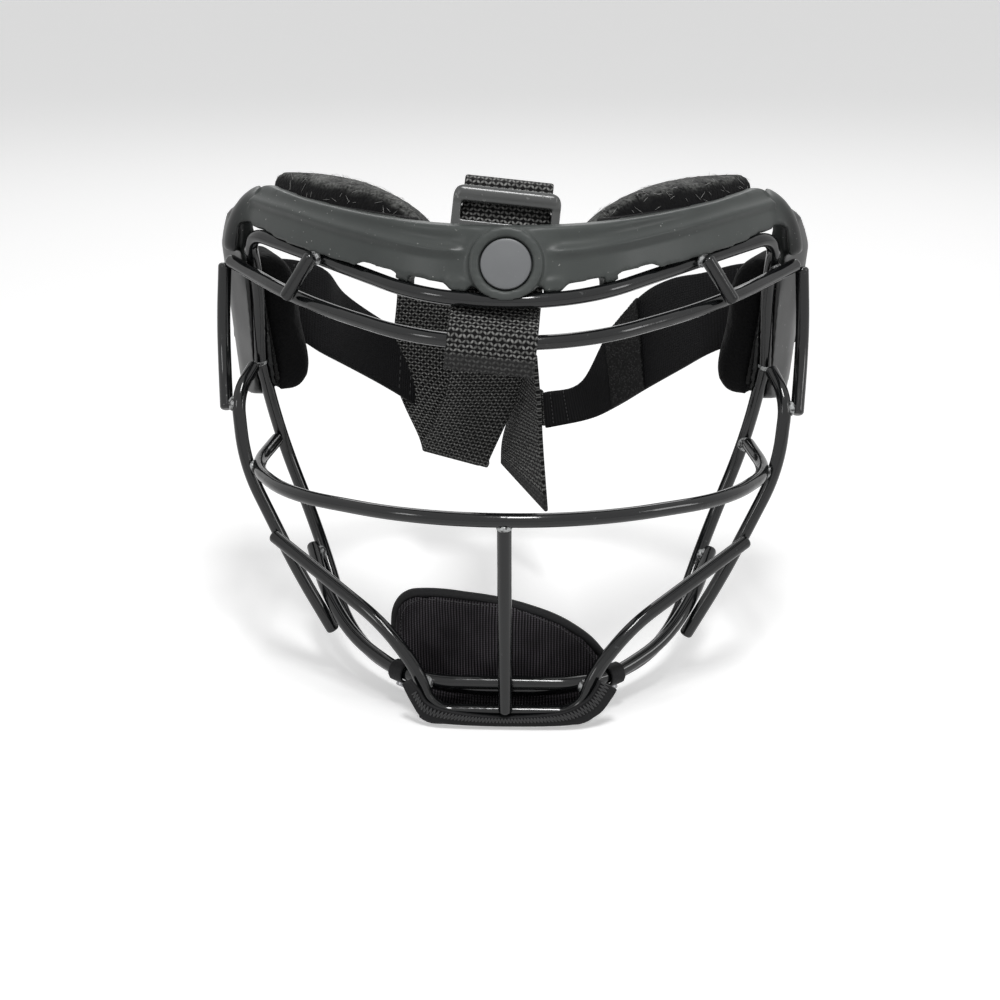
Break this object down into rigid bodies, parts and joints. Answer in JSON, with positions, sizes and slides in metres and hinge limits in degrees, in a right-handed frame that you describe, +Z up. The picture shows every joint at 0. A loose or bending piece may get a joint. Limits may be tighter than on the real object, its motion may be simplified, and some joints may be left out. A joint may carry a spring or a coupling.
{
  "type": "softball face guard",
  "caption": "Junior fielder's face guard: welded wire cage under a padded brow shell, with temple arms, padded chin cup and elastic head harness.",
  "frame": {"origin": "on the midplane, on the line between the temples, at brow height", "axes": "+Z up, the mask faces -Y, +X is the wearer's left"},
  "size_m": [0.181, 0.1499, 0.1549],
  "materials": {
    "coated_wire": "gloss black coating over steel wire",
    "shell": "satin charcoal moulding, faintly grained",
    "badge": "smooth dark disc",
    "pad": "brushed black pile over foam",
    "hook_patch": "black hook tape",
    "elastic": "smooth knitted black elastic",
    "webbing": "coarse woven black webbing",
    "buckle": "polished black plastic",
    "stud": "dark steel snap",
    "chin_knit": "ribbed black knit over foam",
    "chin_trim": "black binding and strap"
  },
  "bodies": {
    "mask": {"badge_disc": "badge", "brow_shell": "shell", "brow_strut_left": "coated_wire", "brow_strut_right": "coated_wire", "centre_bar": "coated_wire", "cheek_wire_left": "coated_wire", "cheek_wire_right": "coated_wire", "chin_cup": "chin_knit", "chin_cup_binding": "chin_trim", "chin_cup_rim": "chin_trim", "chin_tab_left": "chin_trim", "chin_tab_right": "chin_trim", "forehead_pad_left": "pad", "forehead_pad_right": "pad", "forehead_patch_left": "hook_patch", "forehead_patch_right": "hook_patch", "frame_wire_lower": "coated_wire", "frame_wire_upper": "coated_wire", "jaw_bar_front": "coated_wire", "jaw_bar_rear": "coated_wire", "lower_brow_bar": "coated_wire", "mouth_bar": "coated_wire", "snap_stud_left": "stud", "snap_stud_right": "stud", "strap_keeper_left": "elastic", "strap_keeper_right": "elastic", "temple_pad_left": "pad", "temple_pad_right": "pad", "temple_patch_left": "hook_patch", "temple_patch_right": "hook_patch", "temple_wire_left": "coated_wire", "temple_wire_right": "coated_wire", "top_strap_front": "webbing"},
    "harness": {"elastic_strap_left": "elastic", "elastic_strap_right": "elastic", "elastic_patch": "hook_patch", "top_strap_rear": "webbing", "rear_link": "webbing"},
    "buckle": {"tri_glide": "buckle"},
    "tail": {"strap_tail": "webbing"}
  },
  "joints": [
    {"name": "harness_swing", "type": "hinge", "parent": "mask", "child": "harness", "pos_m": [0, 0.00575, -0.016], "axis": [1, 0, 0], "range_deg": [-10, 20]},
    {"name": "buckle_slide", "type": "slide", "parent": "mask", "child": "buckle", "axis": [0.0946, 0.3907, 0.9156], "range_m": [-0.008, 0.001]},
    {"name": "tail_swing", "type": "hinge", "parent": "harness", "child": "tail", "pos_m": [0.0062, 0.0257, -0.0368], "axis": [1, 0, 0], "range_deg": [-25, 6]}
  ]
}
